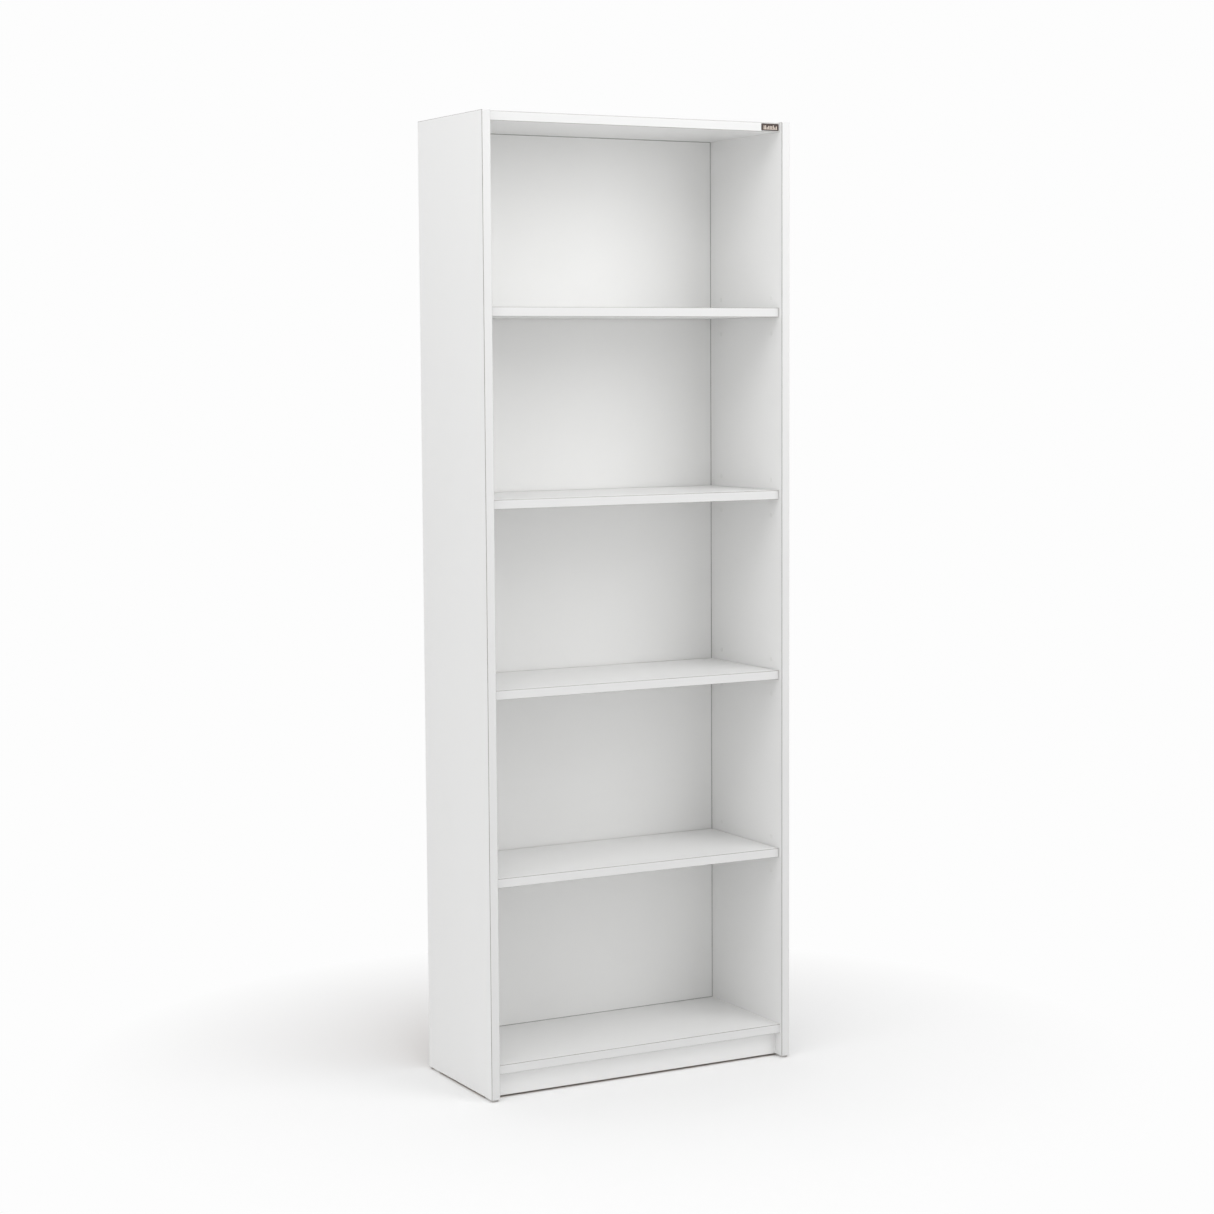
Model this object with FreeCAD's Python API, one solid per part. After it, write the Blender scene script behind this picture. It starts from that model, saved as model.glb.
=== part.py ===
import FreeCAD, Part
import math
import os

# Five-bay bookcase in white melamine-faced board, with four adjustable shelves.
# Millimetres. +Z is up, +X is to the right seen from the front, the front faces -Y.
# The origin is on the floor, under the middle of the case.

# Overall sizes
CASE_WIDTH = 610.0
SIDE_DEPTH = 260.0
SIDE_HEIGHT = 1700.0

# Board stock and edge band
BOARD = 16.0
BACK_BOARD = 3.0
BAND = 0.8
BAND_ROUND = 0.5
BAND_SCRAPE = 0.3

# Where the boards stand in the case
TOP_DROP = 1.0
TOP_SETBACK = 8.0
SHELF_SETBACK = 10.0
BOTTOM_SETBACK = 7.0
KICK_SETBACK = 23.0
KICK_HEIGHT = 42.0
SHELF_COUNT = 4
SHELF_END_GAP = 1.0
SHELF_BACK_GAP = 2.0

# Back board in its grooves
BACK_RECESS = 7.0
GROOVE_DEPTH = 6.0
GROOVE_PLAY = 0.1
BACK_EDGE_PLAY = 1.0

# Shelf supports and the holes they sit in
SUPPORT_FRONT_INSET = 37.0
SUPPORT_BACK_INSET = 37.0
PEG_HOLE_RADIUS = 2.5
PEG_PLAY = 0.05
PEG_LENGTH = 8.0
PEG_END_PLAY = 1.0
PEG_TIP_CHAMFER = 0.5
SUPPORT_HEAD_LENGTH = 8.0
SUPPORT_HEAD_WIDTH = 7.0
SUPPORT_HEAD_RISE = 0.4
SUPPORT_HEAD_ROUND = 0.6
SUPPORT_PULL = PEG_LENGTH + 0.5
NOTCH_SIDE_PLAY = 0.5
NOTCH_END_PLAY = 1.5
HOLE_PITCH = 32.0
CAP_PLUG_LENGTH = 6.0
CAP_RADIUS = 4.0
CAP_HEIGHT = 0.6
CAP_CHAMFER = 0.3

# Cam fittings and dowels that hold the fixed boards between the sides
BOLT_INSET = 60.0
DOWEL_OFFSET = 32.0
CAM_DISTANCE = 24.0
CAM_RADIUS = 7.5
CAM_PLAY = 0.05
CAM_END_PLAY = 0.2
CAM_CHAMBER_RADIUS = 4.7
CAM_FLOOR = 0.8
CAM_TURN = 170.0
CAM_SLOT_MARGIN = 31.0
CAM_RECESS_LENGTH = 7.0
CAM_RECESS_WIDTH = 1.2
CAM_RECESS_DEPTH = 2.0
BOLT_THREAD_RADIUS = 2.5
BOLT_THREAD_LENGTH = 11.0
BOLT_COLLAR_RADIUS = 3.5
BOLT_COLLAR_LENGTH = 3.0
BOLT_NECK_RADIUS = 2.0
BOLT_HEAD_RADIUS = 3.3
BOLT_HEAD_LENGTH = 2.5
BOLT_PLAY = 0.4
BOLT_SHOULDER_PLAY = 0.1
DOWEL_RADIUS = 4.0
DOWEL_IN_SIDE = 12.0
DOWEL_IN_BOARD = 18.0
DOWEL_END_PLAY = 0.5
DOWEL_CHAMFER = 1.0
KICK_DOWEL_INSET = 12.0

# Glides nailed under the sides
GLIDE_HEIGHT = 4.0
GLIDE_SEAT_HEIGHT = 2.0
GLIDE_LENGTH = 28.0
GLIDE_WIDTH = 14.0
GLIDE_CORNER = 4.0
GLIDE_CHAMFER = 0.6
GLIDE_FRONT_INSET = 3.0
GLIDE_BACK_INSET = 14.0
NAIL_RADIUS = 1.0
NAIL_POINT = 0.5
NAIL_REACH = 10.0
NAIL_HEAD_RADIUS = 2.6
NAIL_HEAD_HEIGHT = 0.8
NAIL_HEAD_PLAY = 0.2

# Plain badge on the top panel's front edge
BADGE_LENGTH = 36.0
BADGE_HEIGHT = 12.6
BADGE_THICKNESS = 0.9
BADGE_CORNER = 1.6
BADGE_CHAMFER = 0.3
BADGE_END_GAP = 2.5

# Two measures this close are the same
SAME_PLACE = 1e-6

# Planes worked out from the sizes above
FRONT = -SIDE_DEPTH / 2
REAR = SIDE_DEPTH / 2
INNER = CASE_WIDTH / 2 - BOARD
SIDE_BOTTOM = GLIDE_HEIGHT
SIDE_TOP = SIDE_BOTTOM + SIDE_HEIGHT
TOP_PANEL_TOP = SIDE_TOP - TOP_DROP
TOP_PANEL_UNDER = TOP_PANEL_TOP - BOARD
BOTTOM_PANEL_UNDER = SIDE_BOTTOM + KICK_HEIGHT
BOTTOM_PANEL_TOP = BOTTOM_PANEL_UNDER + BOARD
SUPPORT_HEAD_HEIGHT = 2 * PEG_HOLE_RADIUS
SHELF_PITCH = (TOP_PANEL_TOP - BOTTOM_PANEL_TOP) / (SHELF_COUNT + 1)
BACK_REAR = REAR - BACK_RECESS
BACK_FRONT = BACK_REAR - BACK_BOARD
SHELF_FRONT = FRONT + SHELF_SETBACK
SHELF_REAR = BACK_FRONT - SHELF_BACK_GAP
SHELF_END = INNER - SHELF_END_GAP
NOTCH_DEPTH = SUPPORT_HEAD_RISE + SUPPORT_HEAD_HEIGHT
PEG_RISE = SUPPORT_HEAD_RISE + SUPPORT_HEAD_HEIGHT / 2
PEG_HOLE_DEPTH = PEG_LENGTH + PEG_END_PLAY
SUPPORT_ROWS = {"front": FRONT + SUPPORT_FRONT_INSET, "back": BACK_FRONT - SUPPORT_BACK_INSET}
BOLT_ROWS = {"front": FRONT + BOLT_INSET, "back": REAR - BOLT_INSET}
DOWEL_ROWS = [FRONT + BOLT_INSET + DOWEL_OFFSET, REAR - BOLT_INSET - DOWEL_OFFSET]
KICK_FRONT = FRONT + KICK_SETBACK
KICK_MIDDLE = KICK_FRONT + BOARD / 2
KICK_DOWEL_HEIGHTS = [SIDE_BOTTOM + KICK_DOWEL_INSET, BOTTOM_PANEL_UNDER - KICK_DOWEL_INSET]
TOP_JOINT_HEIGHT = TOP_PANEL_TOP - BOARD / 2
BOTTOM_JOINT_HEIGHT = BOTTOM_PANEL_TOP - BOARD / 2
CAM_CHAMBER_HALF = BOLT_HEAD_RADIUS + BOLT_PLAY
CAM_SLOT_HALF = BOLT_NECK_RADIUS + BOLT_PLAY
CAM_DEPTH = BOARD / 2 + CAM_CHAMBER_HALF + CAM_FLOOR
BOLT_REACH = math.sqrt(CAM_CHAMBER_RADIUS ** 2 - BOLT_HEAD_RADIUS ** 2) - BOLT_SHOULDER_PLAY
BOLT_SHOULDER = CAM_DISTANCE - BOLT_REACH
SIDES = {"left": -1, "right": 1}
X_AXIS, Y_AXIS, Z_AXIS = 0, 1, 2


def box(low, high):
    """A box between two opposite corners, given in any order."""
    corner = [min(a, b) for a, b in zip(low, high)]
    size = [abs(a - b) for a, b in zip(low, high)]
    return Part.makeBox(size[0], size[1], size[2], FreeCAD.Vector(*corner))


def rod(start, end, radius):
    """A round bar between two points."""
    line = FreeCAD.Vector(*end) - FreeCAD.Vector(*start)
    return Part.makeCylinder(radius, line.Length, FreeCAD.Vector(*start), line)


def edges_along(shape, axis, plane_axis=None, plane=None):
    """The straight edges that run along an axis and, if asked, lie on a plane."""
    found = []
    for edge in shape.Edges:
        first = edge.Vertexes[0].Point
        last = edge.Vertexes[-1].Point
        others = [i for i in (X_AXIS, Y_AXIS, Z_AXIS) if i != axis]
        straight = all(abs(first[i] - last[i]) < SAME_PLACE for i in others)
        on_plane = plane_axis is None or abs(first[plane_axis] - plane) < SAME_PLACE
        if straight and on_plane:
            found.append(edge)
    return found


def chamfered_rod(start, end, radius, chamfer):
    """A round bar whose far end is chamfered."""
    bar = rod(start, end, radius)
    rim = [e for e in bar.Edges if (e.BoundBox.Center - FreeCAD.Vector(*end)).Length < SAME_PLACE]
    return bar.makeChamfer(chamfer, rim)


def save(name, shape):
    """Writes one node's STEP file."""
    if not shape.isValid():
        raise ValueError(name + " is not a valid shape")
    shape.exportStep(os.path.join("parts", name + ".step"))


def shelf_top(number):
    """Height of a shelf's upper face; shelf 1 is the lowest."""
    return BOTTOM_PANEL_TOP + number * SHELF_PITCH


def peg_height(number):
    """Height of the peg axis of the supports that carry a shelf."""
    return shelf_top(number) - BOARD + PEG_RISE


def side_panel(side):
    """A full-height side board with its back groove and every hole in its inner face."""
    inner = side * INNER
    outer = side * CASE_WIDTH / 2
    board = box((inner, FRONT + BAND, SIDE_BOTTOM), (outer, REAR, SIDE_TOP - BAND))
    cutters = [box((inner, BACK_FRONT - GROOVE_PLAY, SIDE_BOTTOM),
                   (inner + side * GROOVE_DEPTH, BACK_REAR + GROOVE_PLAY, SIDE_TOP))]
    for number in range(1, SHELF_COUNT + 1):
        for step in (-1, 0, 1):
            height = peg_height(number) + step * HOLE_PITCH
            for y in SUPPORT_ROWS.values():
                cutters.append(blind_hole(side, y, height, PEG_HOLE_RADIUS, PEG_HOLE_DEPTH))
    for height in (BOTTOM_JOINT_HEIGHT, TOP_JOINT_HEIGHT):
        for y in BOLT_ROWS.values():
            cutters.append(blind_hole(side, y, height, BOLT_THREAD_RADIUS, BOLT_THREAD_LENGTH))
        for y in DOWEL_ROWS:
            cutters.append(blind_hole(side, y, height, DOWEL_RADIUS, DOWEL_IN_SIDE + DOWEL_END_PLAY))
    for height in KICK_DOWEL_HEIGHTS:
        cutters.append(blind_hole(side, KICK_MIDDLE, height, DOWEL_RADIUS,
                                  DOWEL_IN_SIDE + DOWEL_END_PLAY))
    for x, y in glide_centres(side):
        tip = SIDE_BOTTOM + NAIL_REACH
        cutters.append(rod((x, y, SIDE_BOTTOM), (x, y, tip), NAIL_RADIUS))
    return board.cut(cutters)


def blind_hole(side, y, z, radius, depth):
    """The cutter for a hole drilled into a side board from its inner face."""
    inner = side * INNER
    return rod((inner, y, z), (inner + side * depth, y, z), radius)


def edge_band(low, high, along, outer_axis, outer):
    """A strip of edge band, a thin box whose two long outer edges are rounded."""
    strip = box(low, high)
    return strip.makeFillet(BAND_ROUND, edges_along(strip, along, outer_axis, outer))


def side_front_band(side):
    """The band on a side board's front edge, scraped just below the board's faces."""
    inner = side * (INNER + BAND_SCRAPE)
    outer = side * (CASE_WIDTH / 2 - BAND_SCRAPE)
    return edge_band((inner, FRONT, SIDE_BOTTOM), (outer, FRONT + BAND, SIDE_TOP), Z_AXIS, Y_AXIS, FRONT)


def side_top_band(side):
    """The band on a side board's top edge, behind the front band."""
    inner = side * (INNER + BAND_SCRAPE)
    outer = side * (CASE_WIDTH / 2 - BAND_SCRAPE)
    return edge_band((inner, FRONT + BAND, SIDE_TOP - BAND), (outer, REAR, SIDE_TOP),
                     Y_AXIS, Z_AXIS, SIDE_TOP)


def board_front_band(half_length, front, top):
    """The band on the front edge of a level board whose upper face is at the given height."""
    low = (-half_length, front, top - BOARD + BAND_SCRAPE)
    high = (half_length, front + BAND, top - BAND_SCRAPE)
    return edge_band(low, high, X_AXIS, Y_AXIS, front)


def fixed_board(front, top, groove_face, cam_face, joint_height):
    """A fixed level board: back groove in one face, cam holes in the other, bores in its ends."""
    board = box((-INNER, front + BAND, top - BOARD), (INNER, REAR, top))
    inward = 1 if groove_face < top - BOARD / 2 else -1
    cutters = [box((-INNER, BACK_FRONT - GROOVE_PLAY, groove_face),
                   (INNER, BACK_REAR + GROOVE_PLAY, groove_face + inward * GROOVE_DEPTH))]
    cam_hole_depth = CAM_DEPTH + CAM_END_PLAY
    cam_end = cam_face - cam_hole_depth if cam_face > joint_height else cam_face + cam_hole_depth
    for side in SIDES.values():
        end = side * INNER
        cam_x = side * (INNER - CAM_DISTANCE)
        dowel_end = end - side * (DOWEL_IN_BOARD + DOWEL_END_PLAY)
        for y in BOLT_ROWS.values():
            cutters.append(rod((end, y, joint_height), (cam_x, y, joint_height),
                               BOLT_COLLAR_RADIUS + BOLT_PLAY))
            cutters.append(rod((cam_x, y, cam_face), (cam_x, y, cam_end), CAM_RADIUS))
        for y in DOWEL_ROWS:
            cutters.append(rod((end, y, joint_height), (dowel_end, y, joint_height), DOWEL_RADIUS))
    return board.cut(cutters)


def top_panel():
    """The top panel: groove underneath, cams let into its upper face."""
    return fixed_board(FRONT + TOP_SETBACK, TOP_PANEL_TOP, TOP_PANEL_UNDER, TOP_PANEL_TOP,
                       TOP_JOINT_HEIGHT)


def bottom_panel():
    """The bottom panel: groove on top, cams let into its underside."""
    return fixed_board(FRONT + BOTTOM_SETBACK, BOTTOM_PANEL_TOP, BOTTOM_PANEL_TOP,
                       BOTTOM_PANEL_UNDER, BOTTOM_JOINT_HEIGHT)


def kick_board():
    """The upright board under the bottom panel, with two dowel holes in each end."""
    board = box((-INNER, KICK_FRONT, SIDE_BOTTOM), (INNER, KICK_FRONT + BOARD, BOTTOM_PANEL_UNDER))
    cutters = []
    for side in SIDES.values():
        end = side * INNER
        dowel_end = end - side * (DOWEL_IN_BOARD + DOWEL_END_PLAY)
        for height in KICK_DOWEL_HEIGHTS:
            cutters.append(rod((end, KICK_MIDDLE, height), (dowel_end, KICK_MIDDLE, height), DOWEL_RADIUS))
    return board.cut(cutters)


def back_board():
    """The thin back, standing on the floor of the bottom groove and captive in all four."""
    half = INNER + GROOVE_DEPTH - BACK_EDGE_PLAY
    low = (-half, BACK_FRONT, BOTTOM_PANEL_TOP - GROOVE_DEPTH)
    high = (half, BACK_REAR, TOP_PANEL_UNDER + GROOVE_DEPTH - BACK_EDGE_PLAY)
    return box(low, high)


def shelf_board(number):
    """A shelf with a blind notch under each corner that hides the support's head."""
    top = shelf_top(number)
    under = top - BOARD
    board = box((-SHELF_END, SHELF_FRONT + BAND, under), (SHELF_END, SHELF_REAR, top))
    half_width = SUPPORT_HEAD_WIDTH / 2 + NOTCH_SIDE_PLAY
    notch_inner = INNER - SUPPORT_HEAD_LENGTH - SUPPORT_PULL - NOTCH_END_PLAY
    cutters = []
    for side in SIDES.values():
        for y in SUPPORT_ROWS.values():
            cutters.append(box((side * notch_inner, y - half_width, under),
                               (side * SHELF_END, y + half_width, under + NOTCH_DEPTH)))
    return board.cut(cutters)


def support(number, side, y):
    """A shelf support: a round peg in the side board and a flat-topped head under the shelf."""
    height = peg_height(number)
    inner = side * INNER
    tip = inner + side * PEG_LENGTH
    head_end = inner - side * SUPPORT_HEAD_LENGTH
    half_width = SUPPORT_HEAD_WIDTH / 2
    half_height = SUPPORT_HEAD_HEIGHT / 2
    head = box((inner, y - half_width, height - half_height),
               (head_end, y + half_width, height + half_height))
    lower_edges = edges_along(head, X_AXIS, Z_AXIS, height - half_height)
    head = head.makeFillet(SUPPORT_HEAD_ROUND, lower_edges)
    peg = chamfered_rod((inner, y, height), (tip, y, height), PEG_HOLE_RADIUS - PEG_PLAY, PEG_TIP_CHAMFER)
    return head.fuse(peg).removeSplitter()


def hole_caps(side):
    """Push-in caps that close the spare support holes above and below each shelf."""
    inner = side * INNER
    face = inner - side * CAP_HEIGHT
    caps = []
    for number in range(1, SHELF_COUNT + 1):
        for step in (-1, 1):
            height = peg_height(number) + step * HOLE_PITCH
            for y in SUPPORT_ROWS.values():
                plug = rod((inner, y, height), (inner + side * CAP_PLUG_LENGTH, y, height), PEG_HOLE_RADIUS)
                head = chamfered_rod((inner, y, height), (face, y, height), CAP_RADIUS, CAP_CHAMFER)
                caps.append(plug.fuse(head))
    return Part.makeCompound(caps)


def cam():
    """A cam with its axis on Z, its face up and the bolt's neck coming in from +X, locked.

    A round chamber holds the bolt's head. A slot in the wall lets the neck pass as the cam turns,
    and ends at an opening wide enough for the head, where the cam lets the bolt go.
    """
    half = CAM_CHAMBER_HALF
    sweep = CAM_TURN + 2 * CAM_SLOT_MARGIN
    centre = FreeCAD.Vector(0, 0, 0)
    up = FreeCAD.Vector(0, 0, 1)
    disc = rod((0, 0, BOARD / 2 - CAM_DEPTH), (0, 0, BOARD / 2), CAM_RADIUS - CAM_PLAY)
    chamber = rod((0, 0, -half), (0, 0, half), CAM_CHAMBER_RADIUS)
    slot = Part.makeCylinder(CAM_RADIUS, 2 * CAM_SLOT_HALF, FreeCAD.Vector(0, 0, -CAM_SLOT_HALF), up, sweep)
    slot.rotate(centre, up, -CAM_TURN - CAM_SLOT_MARGIN)
    mouth = box((0, -half, -half), (CAM_RADIUS, half, half))
    mouth.rotate(centre, up, -CAM_TURN)
    recess_floor = BOARD / 2 - CAM_RECESS_DEPTH
    long = CAM_RECESS_LENGTH / 2
    short = CAM_RECESS_WIDTH / 2
    recess_x = box((-long, -short, recess_floor), (long, short, BOARD / 2))
    recess_y = box((-short, -long, recess_floor), (short, long, BOARD / 2))
    return disc.cut([chamber, slot, mouth, recess_x, recess_y])


def placed_cam(side, y, joint_height, cam_face):
    """A cam turned so that its face is in the board's face and its slot meets its bolt."""
    piece = cam()
    centre = FreeCAD.Vector(0, 0, 0)
    if cam_face < joint_height:
        piece.rotate(centre, FreeCAD.Vector(1, 0, 0), 180)
    if side < 0:
        piece.rotate(centre, FreeCAD.Vector(0, 0, 1), 180)
    piece.translate(FreeCAD.Vector(side * (INNER - CAM_DISTANCE), y, joint_height))
    return piece


def cam_bolt(side, y, height):
    """A cam bolt: thread in the side board, collar on its face, neck and head in the cam."""
    inner = side * INNER
    collar_end = inner - side * BOLT_COLLAR_LENGTH
    shoulder = side * (INNER - BOLT_SHOULDER)
    head_end = shoulder - side * BOLT_HEAD_LENGTH
    thread = rod((inner + side * BOLT_THREAD_LENGTH, y, height), (inner, y, height), BOLT_THREAD_RADIUS)
    collar = rod((inner, y, height), (collar_end, y, height), BOLT_COLLAR_RADIUS)
    neck = rod((collar_end, y, height), (shoulder, y, height), BOLT_NECK_RADIUS)
    head = rod((shoulder, y, height), (head_end, y, height), BOLT_HEAD_RADIUS)
    return thread.fuse([collar, neck, head])


def dowel(side, y, height):
    """A beech dowel, part in the side board and part in the other board's end."""
    middle = side * INNER
    outer = middle + side * DOWEL_IN_SIDE
    inner = middle - side * DOWEL_IN_BOARD
    in_side = chamfered_rod((middle, y, height), (outer, y, height), DOWEL_RADIUS, DOWEL_CHAMFER)
    in_board = chamfered_rod((middle, y, height), (inner, y, height), DOWEL_RADIUS, DOWEL_CHAMFER)
    return in_side.fuse(in_board).removeSplitter()


def dowels():
    """Every dowel: in the top panel, the bottom panel and the kick board."""
    pieces = []
    for side in SIDES.values():
        for height in (BOTTOM_JOINT_HEIGHT, TOP_JOINT_HEIGHT):
            for y in DOWEL_ROWS:
                pieces.append(dowel(side, y, height))
        for height in KICK_DOWEL_HEIGHTS:
            pieces.append(dowel(side, KICK_MIDDLE, height))
    return Part.makeCompound(pieces)


def glide_centres(side):
    """Where the front and the back glide of one side board stand."""
    x = side * (CASE_WIDTH - BOARD) / 2
    front = FRONT + GLIDE_FRONT_INSET + GLIDE_LENGTH / 2
    back = REAR - GLIDE_BACK_INSET - GLIDE_LENGTH / 2
    return [(x, front), (x, back)]


def glide(x, y):
    """A plastic glide: a rounded pad with a hole and a seat for its nail."""
    pad = box((x - GLIDE_WIDTH / 2, y - GLIDE_LENGTH / 2, 0.0),
              (x + GLIDE_WIDTH / 2, y + GLIDE_LENGTH / 2, GLIDE_HEIGHT))
    pad = pad.makeFillet(GLIDE_CORNER, edges_along(pad, Z_AXIS))
    sole = [e for e in pad.Edges if e.BoundBox.ZMax < SAME_PLACE]
    pad = pad.makeChamfer(GLIDE_CHAMFER, sole)
    seat_top = GLIDE_SEAT_HEIGHT
    hole = rod((x, y, 0.0), (x, y, GLIDE_HEIGHT), NAIL_RADIUS)
    seat = rod((x, y, 0.0), (x, y, seat_top), NAIL_HEAD_RADIUS + NAIL_HEAD_PLAY)
    return pad.cut([hole, seat])


def glide_nail(x, y):
    """The nail that holds a glide, with its head sunk in the pad."""
    seat_top = GLIDE_SEAT_HEIGHT
    head = rod((x, y, seat_top - NAIL_HEAD_HEIGHT), (x, y, seat_top), NAIL_HEAD_RADIUS)
    tip = SIDE_BOTTOM + NAIL_REACH
    shank = chamfered_rod((x, y, seat_top), (x, y, tip), NAIL_RADIUS, NAIL_POINT)
    return head.fuse(shank)


def badge():
    """A plain plate with rounded corners, stuck to the top panel's front band."""
    face = FRONT + TOP_SETBACK
    right = INNER - BADGE_END_GAP
    middle = TOP_PANEL_TOP - BOARD / 2
    plate = box((right - BADGE_LENGTH, face - BADGE_THICKNESS, middle - BADGE_HEIGHT / 2),
                (right, face, middle + BADGE_HEIGHT / 2))
    plate = plate.makeFillet(BADGE_CORNER, edges_along(plate, Y_AXIS))
    rim = [e for e in plate.Edges if e.BoundBox.YMax < face - BADGE_THICKNESS + SAME_PLACE]
    return plate.makeChamfer(BADGE_CHAMFER, rim)


def save_case():
    """Writes the fixed boards and their edge bands."""
    for name, side in SIDES.items():
        save(name + "_side_panel", side_panel(side))
        save(name + "_side_front_band", side_front_band(side))
        save(name + "_side_top_band", side_top_band(side))
        save(name + "_hole_caps", hole_caps(side))
    save("top_panel", top_panel())
    save("top_panel_front_band", board_front_band(INNER, FRONT + TOP_SETBACK, TOP_PANEL_TOP))
    save("bottom_panel", bottom_panel())
    save("bottom_panel_front_band", board_front_band(INNER, FRONT + BOTTOM_SETBACK, BOTTOM_PANEL_TOP))
    save("kick_board", kick_board())
    save("back_board", back_board())
    save("badge", badge())


def save_shelves():
    """Writes each shelf, its band and the four supports that carry it."""
    for number in range(1, SHELF_COUNT + 1):
        name = "shelf_" + str(number)
        save(name, shelf_board(number))
        save(name + "_front_band", board_front_band(SHELF_END, SHELF_FRONT, shelf_top(number)))
        for row, y in SUPPORT_ROWS.items():
            for side_name, side in SIDES.items():
                save(name + "_support_" + row + "_" + side_name, support(number, side, y))


def save_fasteners():
    """Writes the fittings, the dowels, the glides and their nails."""
    bolts = []
    for board, joint_height, cam_face in (("top", TOP_JOINT_HEIGHT, TOP_PANEL_TOP),
                                          ("bottom", BOTTOM_JOINT_HEIGHT, BOTTOM_PANEL_UNDER)):
        for row, y in BOLT_ROWS.items():
            for side_name, side in SIDES.items():
                save("cam_" + board + "_" + row + "_" + side_name,
                     placed_cam(side, y, joint_height, cam_face))
                bolts.append(cam_bolt(side, y, joint_height))
    save("cam_bolts", Part.makeCompound(bolts))
    save("dowels", dowels())
    nails = []
    for side_name, side in SIDES.items():
        for row, (x, y) in zip(("front", "back"), glide_centres(side)):
            save("glide_" + row + "_" + side_name, glide(x, y))
            nails.append(glide_nail(x, y))
    save("glide_nails", Part.makeCompound(nails))


os.makedirs("parts", exist_ok=True)
save_case()
save_shelves()
save_fasteners()
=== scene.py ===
"""Bookcase with adjustable shelves: the finishes of its boards, bands and fittings, and a small studio round it.

Everything is in metres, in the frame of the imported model: Z is up and the open front faces -Y.
"""

from math import cos, pi, radians, sin

import bpy
import numpy as np
from bpy.props import FloatProperty, FloatVectorProperty, IntProperty, PointerProperty
from mathutils import Matrix, Vector


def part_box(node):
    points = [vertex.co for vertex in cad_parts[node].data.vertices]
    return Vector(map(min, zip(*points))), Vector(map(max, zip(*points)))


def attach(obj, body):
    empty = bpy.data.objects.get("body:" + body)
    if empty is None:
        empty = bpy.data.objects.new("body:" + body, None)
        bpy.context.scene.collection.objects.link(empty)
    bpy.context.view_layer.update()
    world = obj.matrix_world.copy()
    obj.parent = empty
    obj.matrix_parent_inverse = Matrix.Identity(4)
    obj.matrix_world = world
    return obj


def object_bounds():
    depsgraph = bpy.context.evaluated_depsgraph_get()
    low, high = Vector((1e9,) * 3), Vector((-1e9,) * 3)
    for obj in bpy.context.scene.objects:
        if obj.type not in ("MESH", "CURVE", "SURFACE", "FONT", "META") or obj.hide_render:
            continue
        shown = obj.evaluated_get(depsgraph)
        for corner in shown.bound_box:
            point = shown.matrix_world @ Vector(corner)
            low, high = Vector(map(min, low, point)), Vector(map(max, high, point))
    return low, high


bl_info = {
    "name": "Bookcase with adjustable shelves",
    "version": (1, 0, 0),
    "blender": (4, 5, 0),
    "location": "View3D > Sidebar > Bookcase",
    "description": "Finishes the boards, bands and fittings of a melamine bookcase and sets up its studio",
    "category": "Object",
}

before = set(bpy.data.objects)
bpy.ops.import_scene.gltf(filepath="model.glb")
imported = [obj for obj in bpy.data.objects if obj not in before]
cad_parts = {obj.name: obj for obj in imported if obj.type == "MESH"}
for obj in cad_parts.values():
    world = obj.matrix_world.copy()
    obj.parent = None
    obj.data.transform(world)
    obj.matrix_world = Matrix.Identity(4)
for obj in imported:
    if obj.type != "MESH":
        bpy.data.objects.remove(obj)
cad_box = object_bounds()

CARCASS = "carcass"
ACROSS, DEEP, UP = (1.0, 0.0, 0.0), (0.0, 1.0, 0.0), (0.0, 0.0, 1.0)
SHARP = 0.00004  # how softly one layer of a board gives way to the next
NOISE_MIDDLE = 0.5  # the middle of a noise's range
SMEAR, SMEAR_SHARE = (0.55, 0.54, 0.52), 0.06  # colour of a smear, and how much of it shows
SHELVES = ("shelf_1", "shelf_2", "shelf_3", "shelf_4")
CORNERS = ("front_left", "front_right", "back_left", "back_right")
FLOAT, VECTOR, COLOUR = "NodeSocketFloat", "NodeSocketVector", "NodeSocketColor"


# ---------------------------------------------------------------- nodes


def node(tree, kind, takes=None, **settings):
    """Adds one node. Each input takes a value, or another node's socket."""
    made = tree.nodes.new(kind)
    for key, value in settings.items():
        setattr(made, key, value)
    for key, value in (takes or {}).items():
        if isinstance(value, bpy.types.NodeSocket):
            tree.links.new(value, made.inputs[key])
        else:
            made.inputs[key].default_value = value
    return made


def maths(tree, operation, *values, clamp=False):
    """One sum on numbers or sockets."""
    return node(tree, "ShaderNodeMath", dict(enumerate(values)), operation=operation, use_clamp=clamp).outputs[0]


def vector_maths(tree, operation, first, second, out="Vector"):
    """One sum on vectors."""
    return node(tree, "ShaderNodeVectorMath", {0: first, 1: second}, operation=operation).outputs[out]


def scaled(tree, vector, factor):
    """A vector times a number."""
    return node(tree, "ShaderNodeVectorMath", {0: vector, "Scale": factor}, operation="SCALE").outputs[0]


def blended(tree, share, first, second):
    """A colour that goes from first to second as share goes from 0 to 1."""
    return node(tree, "ShaderNodeMix", {0: share, 6: first, 7: second}, data_type="RGBA").outputs[2]


def between(tree, share, low, high):
    """A number that goes from low to high as share goes from 0 to 1."""
    return node(tree, "ShaderNodeMix", {0: share, 2: low, 3: high}, data_type="FLOAT").outputs[0]


def stretched(tree, vector, scale):
    """A pattern's place, with each of its axes scaled."""
    return node(tree, "ShaderNodeMapping", {"Vector": vector, "Scale": scale}).outputs[0]


def noise(tree, vector, scale, detail=2.0, roughness=0.5, distortion=0.0):
    """A soft noise from about 0 to 1; `scale` is how many of its patches fit in a metre."""
    takes = {"Vector": vector, "Scale": scale, "Detail": detail, "Roughness": roughness, "Distortion": distortion}
    return node(tree, "ShaderNodeTexNoise", takes).outputs["Fac"]


def one_over(tree, size):
    """The scale at which a pattern's patches have this size."""
    return maths(tree, "DIVIDE", 1.0, size)


def opaque(colour):
    """A colour with full alpha."""
    return (*colour, 1.0)


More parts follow.
